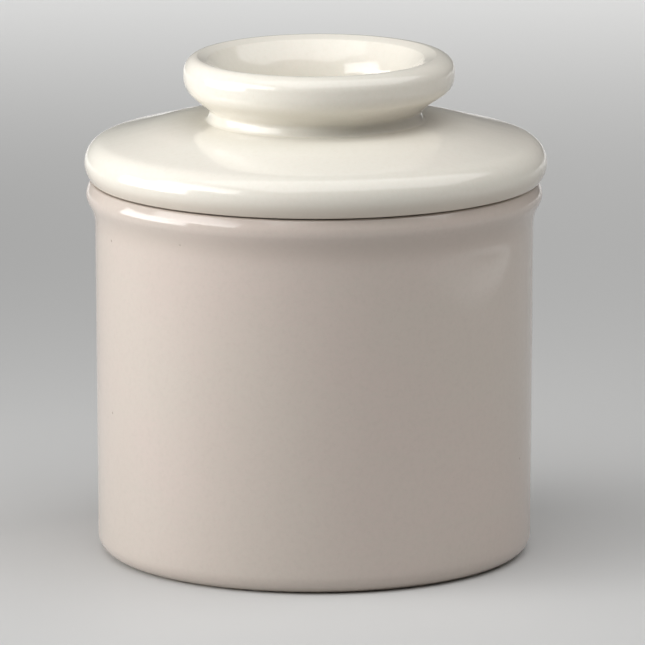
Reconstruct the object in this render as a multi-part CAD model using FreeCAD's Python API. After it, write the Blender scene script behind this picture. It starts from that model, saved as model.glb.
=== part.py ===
"""Butter crock: a straight-sided stoneware crock and a lid cast in one with its knob and bell.

Lengths are in millimetres. +Z runs up the axis that both pieces are turned about. The origin
is where that axis meets the surface that the crock stands on. The lid is modelled where it
rests, with its bell hanging in the crock.
"""
import FreeCAD, Part
import math
import os

Vector = FreeCAD.Vector

# ---- Driving dimensions ----
total_height = 109.0
seat_height = 81.4            # flat top of the crock's rim, where the lid rests
lid_radius = 50.0

# Crock
crock_base_radius = 47.05     # side wall carried down to the surface
crock_wall_radius = 47.4      # side wall where the rim leaves it
crock_wall = 5.6
crock_wall_draft = 0.6        # the inside narrows by this much down to the floor
crock_floor = 5.8
foot_ring_width = 5.0
foot_recess = 1.6
rim_radius = 49.3             # widest part of the rolled rim
rim_widest_drop = 2.8         # how far below the seat the rim is widest
rim_root_drop = 7.3           # how far below the seat the rim leaves the wall
rim_land_radius = 48.3        # outer edge of the rim's flat top

# Lid
lid_edge_radius = 48.7        # bottom edge of the lid's rounded side
lid_edge_gap = 0.4            # the edge stands clear of the rim by this much
lid_contact_radius = 46.4     # the lid rests on the rim only inside this radius
lid_widest_rise = 4.0         # how far above the seat the lid is widest
register_radius = 40.6        # ring under the lid that keeps it centred in the crock
register_width = 3.6
register_depth = 1.8
underside_rise = 4.6          # hollow between the register ring and the bell, above the seat
knee_radius = 30.0            # where the dome flattens towards the neck
knee_height = 94.7
neck_radius = 22.9
neck_foot_height = 94.9
neck_top_height = 97.2
knob_radius = 29.25
knob_corner_drop = 6.5        # from the top of the knob to the corner under its lip
knob_crest_width = 3.5        # from the knob's side to the inner edge of its crest
dish_radius = 23.5
dish_edge_drop = 0.75         # from the knob's crest to the edge of the dish
dish_shoulder_radius = 20.3   # where the dish's flared edge meets its steep side
dish_shoulder_drop = 5.0
dish_floor_radius = 18.6      # the dish's side carried down to its floor
dish_depth = 15.0

# Bell that holds the butter, hanging from the lid
bell_mouth_height = 27.0
bell_mouth_radius = 33.6
bell_root_radius = 32.4
bell_wall = 4.4
bell_ceiling_height = 88.6

# Roundings
foot_rounding = 4.0
foot_ring_rounding = 0.5
foot_recess_rounding = 0.8
floor_rounding = 9.0
rim_root_rounding = 9.0
rim_rounding = 3.2
rim_land_rounding = 0.6
crock_mouth_rounding = 1.4
lid_edge_rounding = 0.8
lid_contact_rounding = 0.5
lid_side_rounding = 5.2
register_rounding = 0.7
register_root_rounding = 0.4
underside_rounding = 2.1
knee_rounding = 36.0
neck_foot_rounding = 1.5
neck_top_rounding = 0.9
under_lip_rounding = 4.6
lip_rounding = 3.3
crest_rounding = 0.6
dish_edge_rounding = 0.5
dish_shoulder_rounding = 11.0
dish_floor_rounding = 7.0
bell_lip_rounding = 2.0
bell_ceiling_rounding = 10.0

AXIS = Vector(0, 0, 1)
SMALLEST_EDGE = 1e-6


def in_section(radius, height):
    """Point of the half section that the solids are turned from."""
    return Vector(radius, 0, height)


def bulge_corner(widest_radius, height, rounding, below, above):
    """Corner whose rounding just reaches widest_radius, with its sides through two points."""
    centre = in_section(widest_radius - rounding, height)
    normals = []
    for point, side in ((below, 1), (above, -1)):
        reach = in_section(*point) - centre
        angle = math.atan2(reach.z, reach.x) + side * math.acos(rounding / reach.Length)
        normals.append(in_section(math.cos(angle), math.sin(angle)))
    spread = 1 + normals[0].dot(normals[1])
    corner = centre + (normals[0] + normals[1]) * (rounding / spread)
    return (corner.x, corner.z, rounding)


def rounded_outline(corners):
    """Closed wire of lines and tangent arcs through corners of (radius, height, rounding)."""
    spans = []
    for index, (radius, height, rounding) in enumerate(corners):
        corner = in_section(radius, height)
        back = (in_section(*corners[index - 1][:2]) - corner).normalize()
        ahead = (in_section(*corners[(index + 1) % len(corners)][:2]) - corner).normalize()
        half_angle = back.getAngle(ahead) / 2
        setback = rounding / math.tan(half_angle)
        inset = rounding / math.sin(half_angle) - rounding
        spans.append((corner + back * setback,
                      corner + (back + ahead).normalize() * inset,
                      corner + ahead * setback))
    edges = []
    for index, (start, middle, end) in enumerate(spans):
        if start.distanceToPoint(end) > SMALLEST_EDGE:
            edges.append(Part.Arc(start, middle, end).toShape())
        following = spans[(index + 1) % len(spans)][0]
        edges.append(Part.LineSegment(end, following).toShape())
    return Part.Wire(edges)


def turned(corners):
    """Solid made by turning a closed outline once round the axis."""
    return Part.Face(rounded_outline(corners)).revolve(Vector(), AXIS, 360)


def make_crock():
    """Crock with a rolled rim, a rounded foot and a recess inside its foot ring."""
    inner_radius = crock_wall_radius - crock_wall
    floor_height = foot_recess + crock_floor
    ring_inner = crock_base_radius - foot_rounding - foot_ring_width
    rim_root = (crock_wall_radius, seat_height - rim_root_drop)
    rim_land = (rim_land_radius, seat_height)
    rim = bulge_corner(rim_radius, seat_height - rim_widest_drop, rim_rounding, rim_root, rim_land)
    return turned([
        (0, floor_height, 0),
        (0, foot_recess, 0),
        (ring_inner - foot_recess, foot_recess, foot_recess_rounding),
        (ring_inner, 0, foot_ring_rounding),
        (crock_base_radius, 0, foot_rounding),
        (*rim_root, rim_root_rounding),
        rim,
        (*rim_land, rim_land_rounding),
        (inner_radius, seat_height, crock_mouth_rounding),
        (inner_radius - crock_wall_draft, floor_height, floor_rounding),
    ])


def make_bell_lid():
    """Lid with its knob above and its bell below, cast as one hollow piece."""
    lid_edge = (lid_edge_radius, seat_height + lid_edge_gap)
    knee = (knee_radius, knee_height)
    side = bulge_corner(lid_radius, seat_height + lid_widest_rise, lid_side_rounding,
                        lid_edge, knee)
    register_inner = register_radius - register_width
    register_height = seat_height - register_depth
    underside_height = seat_height + underside_rise
    dish_height = total_height - dish_depth
    return turned([
        (0, bell_ceiling_height, 0),
        (bell_root_radius - bell_wall, bell_ceiling_height, bell_ceiling_rounding),
        (bell_mouth_radius - bell_wall, bell_mouth_height, bell_lip_rounding),
        (bell_mouth_radius, bell_mouth_height, bell_lip_rounding),
        (bell_root_radius, underside_height, underside_rounding),
        (register_inner, underside_height, underside_rounding),
        (register_inner, register_height, register_rounding),
        (register_radius, register_height, register_rounding),
        (register_radius, seat_height, register_root_rounding),
        (lid_contact_radius, seat_height, lid_contact_rounding),
        (*lid_edge, lid_edge_rounding),
        side,
        (*knee, knee_rounding),
        (neck_radius, neck_foot_height, neck_foot_rounding),
        (neck_radius, neck_top_height, neck_top_rounding),
        (knob_radius, total_height - knob_corner_drop, under_lip_rounding),
        (knob_radius, total_height, lip_rounding),
        (knob_radius - knob_crest_width, total_height, crest_rounding),
        (dish_radius, total_height - dish_edge_drop, dish_edge_rounding),
        (dish_shoulder_radius, total_height - dish_shoulder_drop, dish_shoulder_rounding),
        (dish_floor_radius, dish_height, dish_floor_rounding),
        (0, dish_height, 0),
    ])


nodes = {
    "crock": make_crock(),
    "bell_lid": make_bell_lid(),
}

os.makedirs("parts", exist_ok=True)
for name, shape in nodes.items():
    shape.exportStep(os.path.join("parts", name + ".step"))
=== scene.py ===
"""Looks of a butter crock: a glazed stoneware crock and the lid that rests on it.

Both pieces are turned forms, made here as fine meshes with the small unevenness of ware that is
made in a mould and finished by hand. Lengths are in metres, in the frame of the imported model.
"""
import bpy
import math
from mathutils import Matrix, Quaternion, Vector, noise


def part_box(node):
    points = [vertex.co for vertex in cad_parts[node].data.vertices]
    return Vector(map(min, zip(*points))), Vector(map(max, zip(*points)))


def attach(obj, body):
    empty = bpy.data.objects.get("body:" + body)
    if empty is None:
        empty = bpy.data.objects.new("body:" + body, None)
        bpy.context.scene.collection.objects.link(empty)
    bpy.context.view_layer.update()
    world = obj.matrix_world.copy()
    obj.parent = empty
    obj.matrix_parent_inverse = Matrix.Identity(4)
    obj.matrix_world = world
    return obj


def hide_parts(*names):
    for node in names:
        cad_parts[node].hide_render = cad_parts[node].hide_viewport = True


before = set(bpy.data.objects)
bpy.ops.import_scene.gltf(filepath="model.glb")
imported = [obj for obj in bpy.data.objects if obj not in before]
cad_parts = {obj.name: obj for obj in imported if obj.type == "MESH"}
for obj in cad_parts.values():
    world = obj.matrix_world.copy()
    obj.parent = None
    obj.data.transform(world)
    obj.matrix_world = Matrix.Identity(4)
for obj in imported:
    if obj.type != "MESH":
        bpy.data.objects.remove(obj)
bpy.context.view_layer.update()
crock_low, crock_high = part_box("crock")
lid_low, lid_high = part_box("bell_lid")

MM = 0.001

# ---- Sizes taken from the frame ----
TOP = lid_high[2]
SEAT = crock_high[2]
BELL_MOUTH = lid_low[2]
LID_RADIUS = (lid_high[0] - lid_low[0]) / 2
RIM_RADIUS = (crock_high[0] - crock_low[0]) / 2

# ---- Crock ----
WALL_RADIUS = RIM_RADIUS - 1.9 * MM
BASE_RADIUS = WALL_RADIUS - 0.35 * MM
WALL = 5.6 * MM
WALL_DRAFT = 0.6 * MM
FLOOR = 7.4 * MM
FOOT_RECESS = 1.6 * MM
FOOT_RING = 38.05 * MM
RIM_ROOT = SEAT - 7.3 * MM
RIM_WIDEST = SEAT - 2.8 * MM
RIM_LAND = RIM_RADIUS - 1.0 * MM
FOOT_ROUNDING = 4.0 * MM
FOOT_RING_ROUNDING = 0.5 * MM
FOOT_RECESS_ROUNDING = 0.8 * MM
FLOOR_ROUNDING = 9.0 * MM
RIM_ROOT_ROUNDING = 9.0 * MM
RIM_ROUNDING = 3.2 * MM
RIM_LAND_ROUNDING = 0.6 * MM
MOUTH_ROUNDING = 1.4 * MM

# ---- Lid ----
LID_EDGE = 48.7 * MM
EDGE_GAP = 0.40 * MM          # the lid touches the rim only inside its edge
EDGE_CONTACT = 46.4 * MM
LID_WIDEST = SEAT + 4.0 * MM
REGISTER_RADIUS = 40.6 * MM
REGISTER_WIDTH = 3.6 * MM
REGISTER_DEPTH = 1.8 * MM
UNDERSIDE = SEAT + 4.6 * MM
KNEE = (30.0 * MM, 94.7 * MM)  # radius and height where the dome flattens towards the neck
NECK_FOOT = (23.5 * MM, 94.6 * MM)
NECK_TOP = (22.7 * MM, 96.75 * MM)
KNOB_RADIUS = 29.25 * MM
KNOB_CORNER = TOP - 6.5 * MM
CREST_INNER = 25.75 * MM
DISH_RADIUS = 23.5 * MM
DISH_EDGE = TOP - 0.75 * MM
DISH_SHOULDER = (20.3 * MM, TOP - 5.0 * MM)
DISH_FLOOR_RADIUS = 18.6 * MM
DISH_FLOOR = TOP - 15.0 * MM
BELL_MOUTH_RADIUS = 33.6 * MM
BELL_ROOT_RADIUS = 32.4 * MM
BELL_WALL = 4.4 * MM
BELL_CEILING = 88.6 * MM
EDGE_ROUNDING = 0.8 * MM
CONTACT_ROUNDING = 0.5 * MM
SIDE_ROUNDING = 5.2 * MM
KNEE_ROUNDING = 36.0 * MM
NECK_FOOT_ROUNDING = 0.8 * MM
NECK_TOP_ROUNDING = 0.9 * MM
UNDER_LIP_ROUNDING = 4.6 * MM
LIP_ROUNDING = 3.3 * MM
CREST_ROUNDING = 0.6 * MM
DISH_EDGE_ROUNDING = 0.5 * MM
DISH_SHOULDER_ROUNDING = 11.0 * MM
DISH_FLOOR_ROUNDING = 7.0 * MM
REGISTER_ROUNDING = 0.7 * MM
REGISTER_ROOT_ROUNDING = 0.4 * MM
UNDERSIDE_ROUNDING = 2.1 * MM
BELL_LIP_ROUNDING = 2.0 * MM
BELL_CEILING_ROUNDING = 10.0 * MM

# ---- Mesh fineness ----
AROUND = 288                  # faces round each piece
LINE_STEP = 1.6 * MM
ARC_STEP = math.radians(9)

# ---- Unevenness ----
WAVE_HEIGHT = 0.05 * MM       # gentle waves in the glaze
WAVE_LENGTH = 26 * MM
WAVE_SEED = 1                 # with 0 the waves would differ from run to run
ROUND_ERROR = 0.12 * MM       # how far a piece is out of round
KNOB_SHIFT = 0.75 * MM        # the knob's lip sits off the axis
KNOB_DIP = 0.42 * MM          # the knob's lip is higher and lower than its middle by this much
HIGH_SIDE = Vector((0.45, 0.9, 0)).normalized()  # towards the highest point of that lip
CROCK_SHIFT = 0.25 * MM       # the crock stands this far to the left of the lid's axis
STILL_BAND = 2.5 * MM         # the waves die out this near to a resting face
CROCK_WAVES, LID_WAVES = 1.0, 2.0   # start of each piece's pattern of waves
CROCK_OVAL, LID_OVAL = 0.6, 2.1     # angle by which each piece's out-of-round shape is turned


# ---- Outlines ----
def bulge_corner(widest, height, rounding, below, above):
    """Corner whose rounding just reaches the widest radius, with its sides through two points."""
    centre = Vector((widest - rounding, height))
    normals = []
    for point, side in ((below, 1), (above, -1)):
        reach = Vector(point) - centre
        angle = math.atan2(reach.y, reach.x) + side * math.acos(rounding / reach.length)
        normals.append(Vector((math.cos(angle), math.sin(angle))))
    corner = centre + (normals[0] + normals[1]) * (rounding / (1 + normals[0].dot(normals[1])))
    return (corner.x, corner.y, rounding)


def arc_points(corner, back, ahead, rounding):
    """Points along the arc that rounds a corner between two unit directions."""
    half_angle = back.angle(ahead) / 2
    setback = rounding / math.tan(half_angle)
    centre = corner + (back + ahead).normalized() * (rounding / math.sin(half_angle))
    start = corner + back * setback - centre
    sweep = start.angle_signed(corner + ahead * setback - centre)
    steps = max(2, math.ceil(abs(sweep) / ARC_STEP))
    points = []
    for step in range(steps + 1):
        turn = -sweep * step / steps
        points.append(Vector((
            centre.x + start.x * math.cos(turn) - start.y * math.sin(turn),
            centre.y + start.x * math.sin(turn) + start.y * math.cos(turn))))
    return points


def outline(corners):
    """Points from axis to axis through corners of (radius, height, rounding)."""
    runs = []
    for index, (radius, height, rounding) in enumerate(corners):
        corner = Vector((radius, height))
        if rounding and 0 < index < len(corners) - 1:
            back = (Vector(corners[index - 1][:2]) - corner).normalized()
            ahead = (Vector(corners[index + 1][:2]) - corner).normalized()
            runs.append(arc_points(corner, back, ahead, rounding))
        else:
            runs.append([corner])
    points = []
    for run in runs:
        if points:
            gap = run[0] - points[-1]
            steps = max(1, math.ceil(gap.length / LINE_STEP))
            last = points[-1]
            points.extend(last + gap * (step / steps) for step in range(1, steps))
        points.extend(run)
    return points


# ---- Meshes ----
def turned_piece(name, points, uneven):
    """Mesh made by turning an outline once round the axis, with every point passed to uneven()."""
    vertices = []
    rings = []
    for radius, height in points:
        count = AROUND if radius > 0 else 1
        rings.append(range(len(vertices), len(vertices) + count))
        for step in range(count):
            angle = 2 * math.pi * step / AROUND
            vertices.append(uneven(Vector((
                radius * math.cos(angle), radius * math.sin(angle), height))))
    faces = []
    for inner, outer in zip(rings, rings[1:]):
        for step in range(AROUND):
            following = (step + 1) % AROUND
            if len(inner) == 1:
                faces.append((inner[0], outer[step], outer[following]))
            elif len(outer) == 1:
                faces.append((inner[step], outer[0], inner[following]))
            else:
                faces.append((inner[step], outer[step], outer[following], inner[following]))
    mesh = bpy.data.meshes.new(name)
    mesh.from_pydata(vertices, [], faces)
    mesh.validate()
    mesh.shade_smooth()
    piece = bpy.data.objects.new(name, mesh)
    bpy.context.scene.collection.objects.link(piece)
    return piece


def smooth_step(value, start, end):
    """0 before start and 1 after end, with a smooth rise between them."""
    share = min(1, max(0, (value - start) / (end - start)))
    return share * share * (3 - 2 * share)


def waved(point, start):
    """Small waves of the glaze and of the clay under it, as an offset of the point."""
    place = (point + Vector((start, 0, 0))) / WAVE_LENGTH
    return noise.noise_vector(place) * WAVE_HEIGHT


def out_of_round(point, turn):
    """Slightly oval and three-sided, as moulded ware comes out of the kiln."""
    angle = math.atan2(point.y, point.x)
    error = math.cos(2 * (angle - turn)) + 0.5 * math.cos(3 * (angle + turn))
    outward = Vector((point.x, point.y, 0))
    return outward.normalized() * (ROUND_ERROR / 2 * error * min(1, outward.length / BASE_RADIUS))


def uneven_crock(point):
    """Unevenness of the crock, none where it stands or where the lid rests."""
    freedom = smooth_step(point.z, 0, STILL_BAND) * smooth_step(SEAT - point.z, 0, STILL_BAND)
    shift = Vector((-CROCK_SHIFT, 0, 0))
    return point + waved(point, CROCK_WAVES) * freedom + out_of_round(point, CROCK_OVAL) + shift


def uneven_lid(point):
    """Unevenness of the lid, none where it rests, with its knob a little off the axis."""
    freedom = smooth_step(abs(point.z - SEAT), 0, STILL_BAND)
    radius = math.hypot(point.x, point.y)
    on_knob = smooth_step(point.z, NECK_TOP[1], KNOB_CORNER)
    on_lip = smooth_step(radius, DISH_RADIUS, KNOB_RADIUS)
    lean = KNOB_DIP * (HIGH_SIDE.dot(point) / KNOB_RADIUS - 1)
    shift = Vector((KNOB_SHIFT * on_lip, 0, lean)) * on_knob
    return point + waved(point, LID_WAVES) * freedom + out_of_round(point, LID_OVAL) + shift


def make_crock():
    """Crock with a rolled rim, a rounded foot and a recess inside its foot ring."""
    rim_root = (WALL_RADIUS, RIM_ROOT)
    rim_land = (RIM_LAND, SEAT)
    inner_radius = WALL_RADIUS - WALL
    points = outline([
        (0, FOOT_RECESS, 0),
        (FOOT_RING - FOOT_RECESS, FOOT_RECESS, FOOT_RECESS_ROUNDING),
        (FOOT_RING, 0, FOOT_RING_ROUNDING),
        (BASE_RADIUS, 0, FOOT_ROUNDING),
        (*rim_root, RIM_ROOT_ROUNDING),
        bulge_corner(RIM_RADIUS, RIM_WIDEST, RIM_ROUNDING, rim_root, rim_land),
        (*rim_land, RIM_LAND_ROUNDING),
        (inner_radius, SEAT, MOUTH_ROUNDING),
        (inner_radius - WALL_DRAFT, FLOOR, FLOOR_ROUNDING),
        (0, FLOOR, 0),
    ])
    return turned_piece("crock_glazed", points, uneven_crock)


def make_lid():
    """Lid with its knob above and its bell below."""
    lid_edge = (LID_EDGE, SEAT + EDGE_GAP)
    register_inner = REGISTER_RADIUS - REGISTER_WIDTH
    register_height = SEAT - REGISTER_DEPTH
    points = outline([
        (0, BELL_CEILING, 0),
        (BELL_ROOT_RADIUS - BELL_WALL, BELL_CEILING, BELL_CEILING_ROUNDING),
        (BELL_MOUTH_RADIUS - BELL_WALL, BELL_MOUTH, BELL_LIP_ROUNDING),
        (BELL_MOUTH_RADIUS, BELL_MOUTH, BELL_LIP_ROUNDING),
        (BELL_ROOT_RADIUS, UNDERSIDE, UNDERSIDE_ROUNDING),
        (register_inner, UNDERSIDE, UNDERSIDE_ROUNDING),
        (register_inner, register_height, REGISTER_ROUNDING),
        (REGISTER_RADIUS, register_height, REGISTER_ROUNDING),
        (REGISTER_RADIUS, SEAT, REGISTER_ROOT_ROUNDING),
        (EDGE_CONTACT, SEAT, CONTACT_ROUNDING),
        (*lid_edge, EDGE_ROUNDING),
        bulge_corner(LID_RADIUS, LID_WIDEST, SIDE_ROUNDING, lid_edge, KNEE),
        (*KNEE, KNEE_ROUNDING),
        (*NECK_FOOT, NECK_FOOT_ROUNDING),
        (*NECK_TOP, NECK_TOP_ROUNDING),
        (KNOB_RADIUS, KNOB_CORNER, UNDER_LIP_ROUNDING),
        (KNOB_RADIUS, TOP, LIP_ROUNDING),
        (CREST_INNER, TOP, CREST_ROUNDING),
        (DISH_RADIUS, DISH_EDGE, DISH_EDGE_ROUNDING),
        (*DISH_SHOULDER, DISH_SHOULDER_ROUNDING),
        (DISH_FLOOR_RADIUS, DISH_FLOOR, DISH_FLOOR_ROUNDING),
        (0, DISH_FLOOR, 0),
    ])
    return turned_piece("bell_lid_glazed", points, uneven_lid)


# ---- Materials ----
GLAZE_IOR = 1.52

# Features per metre of the patterns in the glaze
CLOUDS = 28
BANDS = (22, 22, 420)         # level rings left by turning
MOTTLE = 900
COLOUR_GRAIN = 1900
SHEEN_CLOUDS = 60
PEEL = 170                    # orange peel
SURFACE_GRAIN = 1600

SPECK_SPACING = 7.3 * MM
SPECK_SIZE = 0.34 * MM
SPECK_SHARE = 0.10            # share of the cells that have a speck
SPECK_CORE = 0.6              # share of a speck's radius that has its full colour

# Share of the colour that each pattern changes at most
BAND_STRENGTH = 0.5
MOTTLE_STRENGTH = 0.4
COLOUR_GRAIN_STRENGTH = 0.7
# painted shade, with some glaze pooling, in the cove under the rim
COVE_SHADE_AND_POOL_STRENGTH = 0.4
# painted shade under the lid's rounded side
UNDER_SIDE_SHADE_STRENGTH = 0.8

PEEL_HEIGHT = 0.03 * MM
GRAIN_HEIGHT = 0.004 * MM
PIT_DEPTH = 0.05 * MM
SHINIEST, DULLEST = 0.07, 0.15  # roughness of the glaze

# Main, cool, warm, deep and speck colours of each glaze
TAUPE = ((0.596, 0.528, 0.470, 1), (0.585, 0.530, 0.468, 1),
         (0.609, 0.521, 0.470, 1), (0.536, 0.466, 0.416, 1), (0.40, 0.34, 0.29, 1))
CREAM = ((0.785, 0.755, 0.679, 1), (0.770, 0.752, 0.671, 1),
         (0.796, 0.745, 0.671, 1), (0.727, 0.683, 0.591, 1), (0.55, 0.48, 0.38, 1))
COVE_SHADE_AND_POOL = (0.53, 0.45, 0.393, 1)           # taupe darkened in the cove under the rim: mostly painted shade, some glaze pooling
# heights over which the cove's painted shade rises and fades
COVE_SHADE_AND_POOL_BAND = (RIM_ROOT - 4 * MM, RIM_ROOT, RIM_ROOT + 1 * MM, RIM_WIDEST)
UNDER_SIDE_SHADE = (0.60, 0.53, 0.45, 1)      # painted shade under the lid's rounded side, warm and pinkish
# heights over which the painted shade under the lid's side rises and fades
UNDER_SIDE_SHADE_BAND = (SEAT - 6 * MM, SEAT, SEAT + 1 * MM, LID_WIDEST + 1 * MM)
CLAY_DARK = (0.55, 0.47, 0.37, 1)
CLAY_LIGHT = (0.70, 0.62, 0.51, 1)
CLAY_GRAIN = 700
CLAY_ROUGHNESS = 0.85
BARE_HEIGHT = 0.12 * MM                 # the glaze ends this high above the ground, more or less
BARE_EDGE_WAVES = 420
BARE_EDGE_HEIGHT = 0.5 * MM


class Nodes:
    """Short calls that add and join the nodes of one material."""

    def __init__(self, name):
        self.material = bpy.data.materials.new(name)
        self.material.use_nodes = True
        self.tree = self.material.node_tree
        self.tree.nodes.clear()
        self.place = self.add("ShaderNodeTexCoord").outputs["Object"]

    def add(self, kind, **settings):
        """New node with its settings."""
        node = self.tree.nodes.new(kind)
        for key, value in settings.items():
            setattr(node, key, value)
        return node

    def join(self, value, socket):
        """Joins an output to a socket, or sets the socket to a plain value."""
        if isinstance(value, bpy.types.NodeSocket):
            self.tree.links.new(value, socket)
        else:
            socket.default_value = value

    def noise(self, scale, detail=3.0, roughness=0.55, place=None):
        """Noise from 0 to 1, with features about 1/scale metres across."""
        node = self.add("ShaderNodeTexNoise")
        self.join(place or self.place, node.inputs["Vector"])
        node.inputs["Scale"].default_value = scale
        node.inputs["Detail"].default_value = detail
        node.inputs["Roughness"].default_value = roughness
        return node.outputs["Fac"]

    def stretched(self, scales):
        """The place, scaled by a different amount along each axis."""
        node = self.add("ShaderNodeMapping")
        self.join(self.place, node.inputs["Vector"])
        node.inputs["Scale"].default_value = scales
        return node.outputs["Vector"]

    def ramp(self, value, low, high, to_low=0.0, to_high=1.0):
        """Smooth change from to_low to to_high as the value goes from low to high."""
        node = self.add("ShaderNodeMapRange", interpolation_type="SMOOTHSTEP")
        self.join(value, node.inputs["Value"])
        node.inputs["From Min"].default_value = low
        node.inputs["From Max"].default_value = high
        node.inputs["To Min"].default_value = to_low
        node.inputs["To Max"].default_value = to_high
        return node.outputs["Result"]

    def math(self, operation, first, second):
        """One sum of two values."""
        node = self.add("ShaderNodeMath", operation=operation)
        self.join(first, node.inputs[0])
        self.join(second, node.inputs[1])
        return node.outputs[0]

    def mix(self, share, first, second):
        """Colour between two colours."""
        node = self.add("ShaderNodeMix", data_type="RGBA")
        self.join(share, node.inputs["Factor"])
        self.join(first, node.inputs["A"])
        self.join(second, node.inputs["B"])
        return node.outputs["Result"]

    def height(self):
        """Height above the ground."""
        node = self.add("ShaderNodeSeparateXYZ")
        self.join(self.place, node.inputs[0])
        return node.outputs["Z"]

    def bump(self, value, distance, normal=None):
        """Bump of the given height in metres, on top of another bump if one is given."""
        node = self.add("ShaderNodeBump")
        self.join(value, node.inputs["Height"])
        node.inputs["Distance"].default_value = distance
        if normal:
            self.join(normal, node.inputs["Normal"])
        return node.outputs["Normal"]

    def finish(self, colour, roughness, normal):
        """Glossy surface over an opaque body."""
        shader = self.add("ShaderNodeBsdfPrincipled")
        output = self.add("ShaderNodeOutputMaterial")
        self.join(colour, shader.inputs["Base Color"])
        self.join(roughness, shader.inputs["Roughness"])
        self.join(normal, shader.inputs["Normal"])
        shader.inputs["IOR"].default_value = GLAZE_IOR
        self.join(shader.outputs["BSDF"], output.inputs["Surface"])
        return self.material


def specks(nodes, spacing, size, share):
    """Mask of small round specks, in the given share of cells of the given spacing."""
    cells = nodes.add("ShaderNodeTexVoronoi")
    nodes.join(nodes.place, cells.inputs["Vector"])
    cells.inputs["Scale"].default_value = 1 / spacing
    spot = nodes.ramp(cells.outputs["Distance"],
                      size / spacing * SPECK_CORE, size / spacing, 1.0, 0.0)
    pick = nodes.add("ShaderNodeSeparateColor")
    nodes.join(cells.outputs["Color"], pick.inputs[0])
    chosen = nodes.math("LESS_THAN", pick.outputs["Red"], share)
    return nodes.math("MULTIPLY", spot, chosen)


def glaze(name, colour, cool, warm, deep, speck):
    """Nodes, colour, roughness and bump of a gloss stoneware glaze."""
    nodes = Nodes(name)
    cloud = nodes.ramp(nodes.noise(CLOUDS, 3), 0.35, 0.7)
    tone = nodes.mix(cloud, colour, warm)
    bands = nodes.noise(1, 3, 0.6, nodes.stretched(BANDS))
    tone = nodes.mix(nodes.ramp(bands, 0.45, 0.8, 0.0, BAND_STRENGTH), tone, cool)
    mottle = nodes.ramp(nodes.noise(MOTTLE, 4, 0.7), 0.4, 0.75, 0.0, MOTTLE_STRENGTH)
    tone = nodes.mix(mottle, tone, deep)
    grains = nodes.noise(COLOUR_GRAIN, 2, 0.6)
    for end, shade in ((0.72, cool), (0.28, warm)):
        tone = nodes.mix(nodes.ramp(grains, 0.5, end, 0.0, COLOUR_GRAIN_STRENGTH), tone, shade)
    dots = specks(nodes, SPECK_SPACING, SPECK_SIZE, SPECK_SHARE)
    tone = nodes.mix(dots, tone, speck)
    rough = nodes.ramp(nodes.noise(SHEEN_CLOUDS, 4), 0.3, 0.75, SHINIEST, DULLEST)
    peel = nodes.bump(nodes.noise(PEEL, 2, 0.4), PEEL_HEIGHT)
    grain = nodes.bump(nodes.noise(SURFACE_GRAIN, 3), GRAIN_HEIGHT, peel)
    pits = nodes.bump(dots, -PIT_DEPTH, grain)
    return nodes, tone, rough, pits


def level_band(nodes, height, band, strength):
    """Mask that rises over the first two heights of the band and fades over the last two."""
    rise_start, rise_end, fade_start, fade_end = band
    above = nodes.ramp(height, rise_start, rise_end)
    below = nodes.ramp(height, fade_start, fade_end, strength, 0.0)
    return nodes.math("MULTIPLY", above, below)


def taupe_glaze():
    """Pinkish taupe glaze, darkened in the cove under the rim by painted shade and some glaze
    pooling, with a bare foot ring.
    """
    nodes, tone, rough, normal = glaze("taupe_glaze", *TAUPE)
    height = nodes.height()
    # painted shade, with some glaze pooling, in the cove under the rim
    tone = nodes.mix(level_band(nodes, height, COVE_SHADE_AND_POOL_BAND, COVE_SHADE_AND_POOL_STRENGTH), tone, COVE_SHADE_AND_POOL)
    edge_waves = nodes.math("MULTIPLY", nodes.noise(BARE_EDGE_WAVES, 3), -BARE_EDGE_HEIGHT)
    bare = nodes.ramp(nodes.math("ADD", height, edge_waves), 0.0, BARE_HEIGHT, 1.0, 0.0)
    clay = nodes.mix(nodes.noise(CLAY_GRAIN, 5, 0.7), CLAY_DARK, CLAY_LIGHT)
    tone = nodes.mix(bare, tone, clay)
    dry = nodes.add("ShaderNodeMix", data_type="FLOAT")
    nodes.join(bare, dry.inputs["Factor"])
    nodes.join(rough, dry.inputs["A"])
    nodes.join(CLAY_ROUGHNESS, dry.inputs["B"])
    return nodes.finish(tone, dry.outputs["Result"], normal)


def cream_glaze():
    """Warm cream glaze of the lid, with painted shade under its rounded side."""
    nodes, tone, rough, normal = glaze("cream_glaze", *CREAM)
    # painted shade under the lid's rounded side
    deep = level_band(nodes, nodes.height(), UNDER_SIDE_SHADE_BAND, UNDER_SIDE_SHADE_STRENGTH)
    tone = nodes.mix(deep, tone, UNDER_SIDE_SHADE)
    return nodes.finish(tone, rough, normal)


# ---- Studio ----
FLOOR_HALF = 6.0              # from the middle of the floor to each of its sides
FLOOR_COLOUR = (0.61, 0.61, 0.605, 1)
FLOOR_SHADE = 0.985           # brightness of its darker patches
FLOOR_ROUGHNESS = 0.6
LEFT_DISTANCE = 0.46          # from the axis to the softboxes on the left
LEFT_SPREAD = math.radians(100)
FLOOR_LIGHT_SPREAD = math.radians(80)
WORLD_COLOUR = (1.0, 0.99, 0.97, 1)
WORLD_STRENGTH = 0.125
CAMERA_TARGET = Vector((1.5 * MM, 0, 49.8 * MM))
CAMERA_DISTANCE = 1.7346
CAMERA_ELEVATION = math.radians(11.4)
LENS = 446.5                  # focal length and sensor width in millimetres
SENSOR_WIDTH = 36


def floor_material():
    """Faintly uneven matt surface."""
    nodes = Nodes("floor_white")
    darker = [channel * FLOOR_SHADE for channel in FLOOR_COLOUR]
    tone = nodes.mix(nodes.noise(3, 4), FLOOR_COLOUR, darker)
    normal = nodes.bump(nodes.noise(300, 3), 0.02 * MM)
    return nodes.finish(tone, FLOOR_ROUGHNESS, normal)


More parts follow.
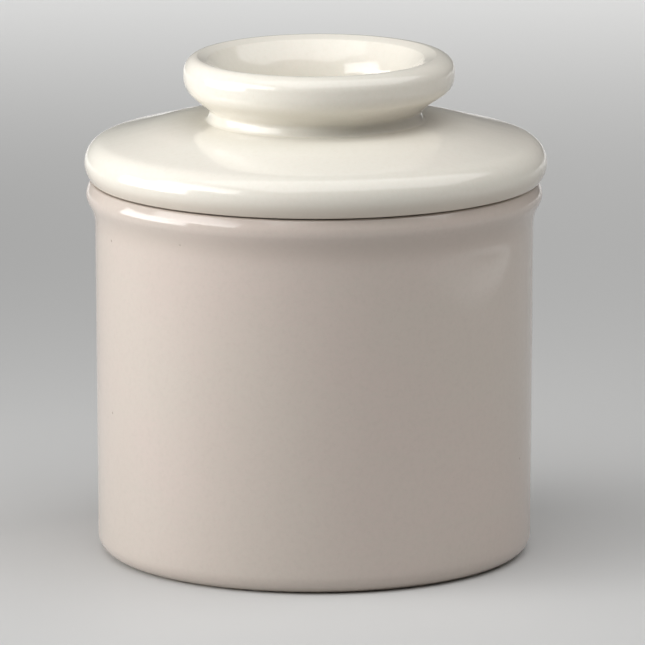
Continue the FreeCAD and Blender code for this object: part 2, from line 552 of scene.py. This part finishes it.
def make_floor():
    """Wide pale floor."""
    low, high = -FLOOR_HALF, FLOOR_HALF
    mesh = bpy.data.meshes.new("floor")
    mesh.from_pydata([(low, low, 0), (high, low, 0), (high, high, 0), (low, high, 0)],
                     [], [(0, 1, 2, 3)])
    mesh.materials.append(floor_material())
    floor = bpy.data.objects.new("floor", mesh)
    bpy.context.scene.collection.objects.link(floor)


def make_light(name, place, target, size, power, turn=0):
    """Rectangular softbox that faces the target, turned in its own plane by degrees."""
    data = bpy.data.lights.new(name, "AREA")
    data.shape = "RECTANGLE"
    data.size, data.size_y = size
    data.energy = power
    light = bpy.data.objects.new(name, data)
    light.location = place
    facing = (Vector(target) - Vector(place)).to_track_quat("-Z", "Y")
    light.rotation_euler = (facing @ Quaternion((0, 0, 1), math.radians(turn))).to_euler()
    light.visible_camera = False
    bpy.context.scene.collection.objects.link(light)
    return light


def make_left_light(name, azimuth, height, size, power):
    """Softbox that faces the axis, at an azimuth in degrees from the camera's side."""
    azimuth = math.radians(azimuth)
    place = (LEFT_DISTANCE * math.sin(azimuth), -LEFT_DISTANCE * math.cos(azimuth), height)
    make_light(name, place, (0, 0, height), size, power).data.spread = LEFT_SPREAD


def make_lights():
    """Softboxes on the left, overhead and over the floor behind, and a dim card on the right."""
    make_left_light("left_softbox", azimuth=-86, height=0.142, size=(0.38, 0.19), power=0.53)
    make_left_light("left_upper_softbox", azimuth=-64, height=0.32, size=(0.44, 0.19), power=0.66)
    make_light("overhead_softbox", place=(0.30, -0.23, 0.75), target=(0.30, -0.23, 0),
               size=(1.6, 0.8), power=7.7, turn=18)
    behind = make_light("floor_softbox", place=(0, 1.1, 0.8), target=(0, 1.1, 0),
                        size=(2.4, 0.9), power=10.0)
    behind.data.spread = FLOOR_LIGHT_SPREAD
    behind.visible_glossy = False
    card = make_light("right_card", place=(0.237, -0.028, 0.0235), target=(0.05, -0.028, 0.0235),
                      size=(0.29, 0.009), power=0.004)
    card.data.shape = "ELLIPSE"
    world = bpy.data.worlds.new("studio")
    world.use_nodes = True
    background = world.node_tree.nodes["Background"]
    background.inputs["Color"].default_value = WORLD_COLOUR
    background.inputs["Strength"].default_value = WORLD_STRENGTH
    bpy.context.scene.world = world


def make_camera():
    """Long lens, a little above the lid."""
    data = bpy.data.cameras.new("camera")
    data.sensor_width = SENSOR_WIDTH
    data.lens = LENS
    camera = bpy.data.objects.new("camera", data)
    towards_camera = Vector((0, -math.cos(CAMERA_ELEVATION), math.sin(CAMERA_ELEVATION)))
    camera.location = CAMERA_TARGET + towards_camera * CAMERA_DISTANCE
    facing = CAMERA_TARGET - camera.location
    camera.rotation_euler = facing.to_track_quat("-Z", "Y").to_euler()
    bpy.context.scene.collection.objects.link(camera)
    bpy.context.scene.camera = camera


noise.seed_set(WAVE_SEED)

crock = make_crock()
crock.data.materials.append(taupe_glaze())
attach(crock, "crock")
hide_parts("crock")

lid = make_lid()
lid.data.materials.append(cream_glaze())
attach(lid, "lid")
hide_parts("bell_lid")

make_floor()
make_lights()
make_camera()
bpy.context.scene.view_settings.view_transform = "Standard"
